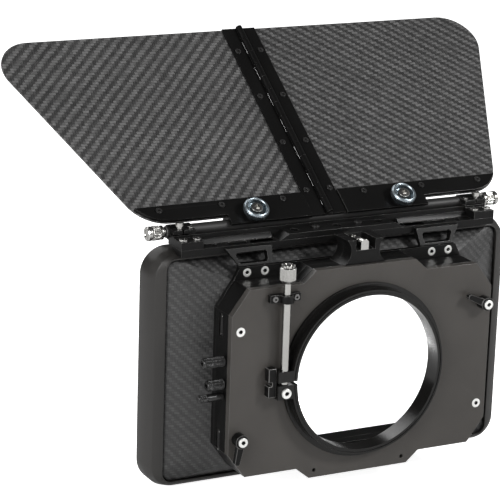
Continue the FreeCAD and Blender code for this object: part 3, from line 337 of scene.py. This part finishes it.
def mesh_from(shape, name, sharp_angle):
    """Turn the finished bmesh into a smooth-shaded mesh with sharp edges where it turns."""
    data = bpy.data.meshes.new(name)
    shape.to_mesh(data)
    shape.free()
    data.shade_smooth()
    data.set_sharp_from_angle(angle=sharp_angle)
    return data


def new_object(name, data):
    made = bpy.data.objects.new(name, data)
    bpy.context.scene.collection.objects.link(made)
    return made


def new_piece(name, data, material):
    data.materials.clear()
    data.materials.append(material)
    return new_object(name, data)


def stand_for(piece, node, slot=None, owner=True):
    """The piece rides with the node's body; an owner hides the node too. The slot is not used."""
    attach(piece, body_of_node[node])
    if owner:
        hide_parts(node)


def axes(direction):
    """The direction at length one, and two more at right angles to it and to each other."""
    along = Vector(direction).normalized()
    side = along.orthogonal().normalized()
    return along, side, along.cross(side)


def span(points, axis):
    """The lowest and the highest of the points along an axis."""
    reaches = [point.dot(axis) for point in points]
    return min(reaches), max(reaches)


def components(shape):
    """The mesh's separate shapes, as lists of faces."""
    waiting = set(shape.faces)
    groups = []
    while waiting:
        queue = [min(waiting, key=lambda face: face.index)]
        waiting.discard(queue[0])
        group = []
        while queue:
            face = queue.pop()
            group.append(face)
            for edge in face.edges:
                for other in edge.link_faces:
                    if other in waiting:
                        waiting.discard(other)
                        queue.append(other)
        groups.append(group)
    return groups


def darken_sockets(shape, direction):
    """Give the faces inside each screw's socket the second material, a painted shade."""
    _, side, other = axes(direction)
    shape.faces.index_update()
    for group in components(shape):
        points = [vertex.co for face in group for vertex in face.verts]
        middle = [sum(span(points, axis)) / 2 for axis in (side, other)]

        def reach(point):
            return math.hypot(point.dot(side) - middle[0], point.dot(other) - middle[1])

        widest = max(reach(point) for point in points)
        for face in group:
            if max(reach(vertex.co) for vertex in face.verts) < SOCKET_SHARE * widest:
                face.material_index = 1


def rounded(node, width, segments=3):
    """The node's own shape with its facets joined into faces and its hard edges rounded.

    Its second material is painted shade inside a screw's socket, or a painted highlight on the
    rounded edges.
    """
    shape = bmesh.new()
    shape.from_mesh(nodes[node].data)
    bmesh.ops.remove_doubles(shape, verts=shape.verts, dist=WELD_DISTANCE)
    bmesh.ops.dissolve_limit(shape, angle_limit=FLAT_ANGLE, verts=shape.verts,
                             edges=shape.edges, delimit={"NORMAL"})
    socketed = node in HEAD_DIRECTIONS
    edged = slot_of_node[node] in EDGED_SLOTS and not socketed
    if socketed:
        darken_sockets(shape, HEAD_DIRECTIONS[node])
    data = mesh_from(shape, f"{node}_rounded", SHARP_ANGLE)
    second_faces = [polygon.material_index for polygon in data.polygons]
    own = OWN_FINISH.get(node) or MATERIALS[slot_of_node[node]]
    piece = new_piece(f"{node}_rounded", data, own)
    if socketed:
        data.materials.append(SOCKET)
        data.polygons.foreach_set("material_index", second_faces)
    elif edged:
        data.materials.append(PAINTED_EDGE_HIGHLIGHT)
    bevel = piece.modifiers.new("bevel", "BEVEL")
    bevel.width = width
    bevel.segments = segments
    bevel.limit_method = "ANGLE"
    bevel.angle_limit = SHARP_ANGLE
    bevel.harden_normals = True
    bevel.use_clamp_overlap = True
    bevel.miter_outer = "MITER_ARC"
    bevel.material = 1 if edged else -1
    stand_for(piece, node)


# Turned pieces ----------------------------------------------------------------------------

AROUND = 144
KNURL_TEETH = 36


def shaft(node, direction):
    """Where a round node starts, its length, its axis and the two directions across it."""
    along, side, other = axes(direction)
    points = [vertex.co for vertex in nodes[node].data.vertices]
    low, high = span(points, along)
    middle = side * (sum(span(points, side)) / 2) + other * (sum(span(points, other)) / 2)
    return middle + along * low, high - low, along, side, other


def length_of(node, direction):
    return shaft(node, direction)[1] / MM


# A form says how far the surface lies below the station's radius, at an angle and a distance
# along the axis.

def smooth(angle, place):
    return 0.0


def straight(depth):
    """Straight ridges along the axis."""
    return lambda angle, place: depth * (0.5 - 0.5 * math.cos(KNURL_TEETH * angle)) ** 2


def diamond(teeth, pitch, depth):
    """Crossed ridges, two families of helices."""
    def groove(angle, place):
        turn = math.pi * place / pitch
        ridge = min(abs(math.sin(teeth * angle / 2 + turn)),
                    abs(math.sin(teeth * angle / 2 - turn)))
        return depth * (1 - ridge)
    return groove


def notched(depth):
    """A few square notches round the edge."""
    count, share = 8, 0.42
    return lambda angle, place: depth if (angle * count / math.tau) % 1.0 < share else 0.0


def hexagon(radius):
    """Turns a circle of this corner radius into a hexagon."""
    def flat(angle, place):
        inside = (angle % (math.pi / 3)) - math.pi / 6
        return radius * (1 - math.cos(math.pi / 6) / math.cos(inside))
    return flat


def plain(*pairs):
    """Smooth stations, from pairs of distance along and radius."""
    return [(place, radius, smooth) for place, radius in pairs]


def hexagonal(radius, start, end):
    """A hexagonal socket between two distances along."""
    return [(place, radius, hexagon(radius)) for place in (start, end)]


def stretch(start, end, radius, form, step):
    """Stations close enough together to carry a knurl."""
    count = max(2, round((end - start) / step))
    return [(start + (end - start) * index / count, radius, form)
            for index in range(count + 1)]


def turned(name, node, direction, stations, material, **standing):
    """A lathe-turned piece, closed at both ends.

    A station is a distance along and a radius in millimetres, and a form.
    """
    base, _, along, side, other = shaft(node, direction)
    shape = bmesh.new()
    rings = []
    for place, radius, form in stations:
        ring = []
        for index in range(AROUND):
            angle = math.tau * index / AROUND
            reach = (radius - form(angle, place)) * MM
            ring.append(shape.verts.new(base + along * (place * MM)
                                        + side * (reach * math.cos(angle))
                                        + other * (reach * math.sin(angle))))
        rings.append(ring)
    for lower, upper in zip(rings, rings[1:]):
        for index in range(AROUND):
            following = (index + 1) % AROUND
            shape.faces.new((lower[index], lower[following], upper[following], upper[index]))
    shape.faces.new(list(reversed(rings[0])))
    shape.faces.new(rings[-1])
    data = mesh_from(shape, name, TURNED_SHARP_ANGLE)
    stand_for(new_piece(name, data, material), node, **standing)


def make_thumb_screw():
    """The clamp's long screw: a stem, a knurled head and a slotted cap."""
    node = "clamp_thumb_screw"
    top = length_of(node, UP)
    head = top - 11.1
    stem, neck, cap = 2.45, 2.15, 4.0
    stations = plain((0.0, 1.9), (0.5, stem), (head - 8.5, stem), (head - 8.2, neck),
                     (head, neck), (head + 0.1, 3.0), (head + 2.0, 4.5))
    stations += stretch(head + 2.2, top - 1.9, 4.75, straight(0.22), 2.0)
    stations += plain((top - 1.7, 4.5), (top - 1.35, 3.7))
    stations += [(top - 1.3, cap, notched(0.9)), (top - 0.25, cap, notched(0.9)),
                 (top, 3.75, notched(0.8))]
    stations += plain((top, 2.4), (top - 0.3, 2.2))
    turned("thumb_screw_turned", node, UP, stations, MATERIALS["silver"])


def make_end_knobs():
    """The two tube knobs: a neck, a flange, a knurled barrel and an end ring."""
    neck, groove, flange, barrel, edge = 2.4, 3.6, 4.2, 4.3, 4.1
    stations = plain((0.0, neck), (1.6, neck), (1.7, 3.8), (2.0, flange), (3.0, flange),
                     (3.1, groove), (3.7, groove), (3.8, edge))
    stations += stretch(4.0, 8.2, barrel, straight(0.3), 2.0)
    stations += plain((8.4, edge), (8.5, 3.5), (9.1, 3.5), (9.2, edge), (9.5, barrel),
                      (11.2, barrel), (11.8, 3.8), (11.85, 2.4), (11.4, 2.1))
    for side, outward in zip(SIDES, (LEFT, RIGHT)):
        node = f"tube_knob_{side}"
        turned(f"{node}_turned", node, outward, stations, MATERIALS["silver"])


def make_side_knobs():
    """The knurled knobs and the pin on the left wall: a thin stem, then the grip."""
    stem, root, step = 1.3, 9.3, 0.2
    start = plain((0.0, stem), (root, stem))
    for node in ("tray_lock_knob_upper", "tray_lock_knob_lower"):
        end = length_of(node, LEFT)
        stations = start + plain((root + 0.1, 2.6), (root + 0.6, 3.1))
        stations += stretch(root + 0.9, end - 0.9, 3.3, diamond(16, 1.25, 0.5), step)
        stations += plain((end - 0.7, 3.0), (end - 0.3, 2.9), (end, 2.6))
        stations += hexagonal(1.5, end, end - 1.2)
        turned(f"{node}_turned", node, LEFT, stations, MATERIALS["knurled_black"])
    node = "tray_release_pin"
    end = length_of(node, LEFT)
    stations = start + plain((root + 0.1, 2.2), (root + 0.4, 2.5), (end - 6.0, 2.5),
                             (end - 5.9, 2.1), (end - 5.3, 2.1))
    stations += stretch(end - 5.2, end - 1.0, 2.55, diamond(14, 1.2, 0.38), step)
    stations += plain((end - 0.8, 2.4), (end - 0.3, 2.3), (end, 2.0))
    turned(f"{node}_turned", node, LEFT, stations, MATERIALS["knurled_black"])


def make_flag_knobs():
    """The flag's thumb knobs: a knurled dished ring in bluish steel round a bright screw."""
    for side in SIDES:
        node = f"flag_knob_{side}"
        top = length_of(node, FLAG_NORMAL)
        seat = top - 6.5
        ring = plain((0.0, 1.1), (seat, 1.1), (seat + 0.05, 5.4), (seat + 0.9, 5.6),
                     (seat + 1.0, 4.8), (seat + 2.2, 4.8), (seat + 2.25, 7.3))
        ring += stretch(seat + 2.7, top - 1.3, 7.9, straight(0.35), 1.5)
        ring += plain((top - 1.0, 7.6), (top - 0.45, 7.3), (top - 0.1, 6.9), (top, 6.5),
                      (top - 0.15, 6.1), (top - 0.6, 5.75), (top - 3.4, 5.3),
                      (top - 3.5, 5.0))
        turned(f"{node}_ring", node, FLAG_NORMAL, ring, MATERIALS["knob_steel"])
        screw = plain((top - 3.9, 3.7), (top - 1.0, 3.7), (top - 0.65, 3.5), (top - 0.5, 3.1))
        screw += hexagonal(1.9, top - 0.5, top - 2.6)
        turned(f"{node}_screw", node, FLAG_NORMAL, screw, MATERIALS["silver"],
               slot="silver", owner=False)


make_thumb_screw()
make_end_knobs()
make_side_knobs()
make_flag_knobs()

ROUNDING_MM = {
    "back_plate": 0.45, "front_frame": 0.4, "side_rail_left": 0.3, "side_rail_right": 0.3,
    "bottom_rail": 0.3, "filter_tray_rear": 0.35, "filter_tray_front": 0.35,
    "clamp_ring": 0.35, "clamp_screw_guide": 0.35, "clamp_stop_block": 0.4,
    "bridge_plate": 0.4, "accessory_rail": 0.4, "window_bracket_left": 0.45,
    "window_bracket_right": 0.45, "end_clamp_left": 0.4, "end_clamp_right": 0.4,
    "flag_tube": 0.4, "flag_holder": 0.35, "hinge_pin": 0.15, "flag_bar_left": 0.35,
    "flag_bar_right": 0.35, "hinge_leaf_left": 0.2, "hinge_leaf_right": 0.2,
    "tray_latch_bar": 0.35, "latch_lever_left": 0.5, "latch_lever_right": 0.5,
    "detent_strips": 0.1, "hood_clamp_frame": 0.3, "hood_rim": 0.8, "hood_shell": 0.4,
    "plate_corner_screws": 0.2, "latch_pivot_screws": 0.3, "bracket_screws": 0.3,
    "rail_screws": 0.2, "end_clamp_screws": 0.3, "tube_pinch_screws": 0.25,
    "tube_lock_screws": 0.25, "guide_screws": 0.18, "lug_screw": 0.3, "detent_screws": 0.08,
    "hood_screws": 0.2, "flag_screws_left": 0.18, "flag_screws_right": 0.18,
}
PANEL_ROUNDING_MM = 0.25
for node_name, millimetres in ROUNDING_MM.items():
    rounded(node_name, millimetres * MM)
for side_name in SIDES:
    rounded(f"flag_panel_{side_name}", PANEL_ROUNDING_MM * MM, segments=2)


# Stage, light and camera ------------------------------------------------------------------

def make_floor():
    """White paper: bright to the camera, but lighting the object only a little from below."""
    reach, drop = 30.0, 0.0005
    to_camera, to_object = 0.90, 0.05
    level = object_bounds()[0][2] - drop
    data = bpy.data.meshes.new("floor")
    corners = [(-reach, -reach, level), (reach, -reach, level),
               (reach, reach, level), (-reach, reach, level)]
    data.from_pydata(corners, [], [(0, 1, 2, 3)])
    floor = new_object("floor", data)
    graph = new_graph("floor_paper")
    fleck = graph.noise(graph.place(), scale=60.0, detail=2.0)
    glow = graph.linear(graph.camera_ray(), to_camera - to_object, to_object)
    data.materials.append(graph.finish(
        Base_Color=graph.mix("RGBA", fleck, grey(0.82), grey(0.86)), Roughness=0.9,
        Specular_IOR_Level=0.1, Emission_Color=(1.0, 1.0, 1.0, 1.0), Emission_Strength=glow))


def make_world():
    """White behind the object, and light that fades towards the ceiling and the front."""
    paper = 1.05
    graph = Graph(bpy.data.worlds.new("studio"))
    parts = graph.split(graph.node("ShaderNodeTexCoord").outputs["Generated"])
    overhead = graph.ease(parts["Z"], start=0.35, end=0.95, before=0.44, after=0.08)
    ahead = graph.ease(parts["Y"], start=0.1, end=0.7, before=1.0, after=0.12)
    light = graph.math("MULTIPLY", overhead, ahead)
    bpy.context.scene.world = graph.finish(
        Color=(1.0, 1.0, 1.0, 1.0), Strength=graph.mix("FLOAT", graph.camera_ray(), light, paper))


CENTRE = (0.0, 0.03, 0.05)
RING_BORE = (0.045, 0.0, 0.015)
# Each light's name, place, target, width and height, watts, and whether the camera sees it.
LIGHTS = (
    ("key", (0.95, -1.05, 1.0), CENTRE, (0.35, 0.35), 26.0, True),
    ("fill", (-1.3, -0.7, 0.7), CENTRE, (0.7, 1.0), 24.0, True),
    ("back", (-0.3, 1.2, 1.1), CENTRE, (1.2, 0.6), 10.0, True),
    ("glint", (0.02, 0.15, -0.065), RING_BORE, (0.05, 0.04), 0.15, False),
)


def make_light(name, place, target, size, watts, seen):
    data = bpy.data.lights.new(name, "AREA")
    data.shape = "RECTANGLE"
    data.size, data.size_y = size
    data.energy = watts
    light = new_object(name, data)
    light.location = place
    towards = Vector(target) - Vector(place)
    light.rotation_euler = towards.to_track_quat("-Z", "Y").to_euler()
    light.visible_camera = seen


CAMERA_AZIMUTH = math.radians(-27.6)
CAMERA_ELEVATION = math.radians(15.89)
CAMERA_ROLL = math.radians(1.85)
CAMERA_DISTANCE = 1.2984
CAMERA_TARGET = Vector((-0.07746, 0.0, 0.08095))
CAMERA_LENS_MM = 165.1
CAMERA_SENSOR_MM = 36.0


def make_camera():
    forward = Vector((-math.sin(CAMERA_AZIMUTH) * math.cos(CAMERA_ELEVATION),
                      math.cos(CAMERA_AZIMUTH) * math.cos(CAMERA_ELEVATION),
                      -math.sin(CAMERA_ELEVATION)))
    data = bpy.data.cameras.new("camera")
    data.lens = CAMERA_LENS_MM
    data.sensor_width = CAMERA_SENSOR_MM
    data.clip_start = 0.05
    camera = new_object("camera", data)
    upright = forward.to_track_quat("-Z", "Y").to_matrix().to_4x4()
    place = Matrix.Translation(CAMERA_TARGET - forward * CAMERA_DISTANCE)
    camera.matrix_world = place @ upright @ Matrix.Rotation(CAMERA_ROLL, 4, "Z")
    bpy.context.scene.camera = camera


make_floor()
make_world()
bpy.context.scene.view_settings.view_transform = "Standard"
for light_row in LIGHTS:
    make_light(*light_row)
make_camera()
